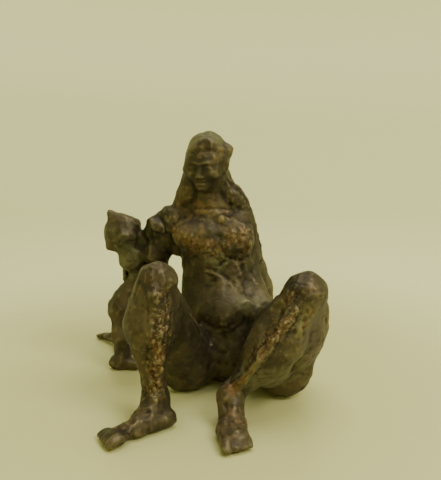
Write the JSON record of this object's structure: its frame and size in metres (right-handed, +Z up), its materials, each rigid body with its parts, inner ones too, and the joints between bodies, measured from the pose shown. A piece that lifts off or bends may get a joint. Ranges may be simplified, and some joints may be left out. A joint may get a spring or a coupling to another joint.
{
  "type": "bronze mother and child figure",
  "caption": "Small cast bronze of a seated woman with long hair, knees up and apart, holding a child who stands at her side.",
  "frame": {"origin": "on the surface that the figure sits on, under the middle of its box", "axes": "+Z up, +Y behind the mother, +X to her left"},
  "size_m": [0.3033, 0.3375, 0.3058],
  "materials": {
    "bronze": "rough modelled bronze with a dark brown and olive patina, ochre and green in places, worn glossy on the shins and knees"
  },
  "bodies": {
    "root": {"mother_and_child": "bronze"}
  },
  "joints": []
}
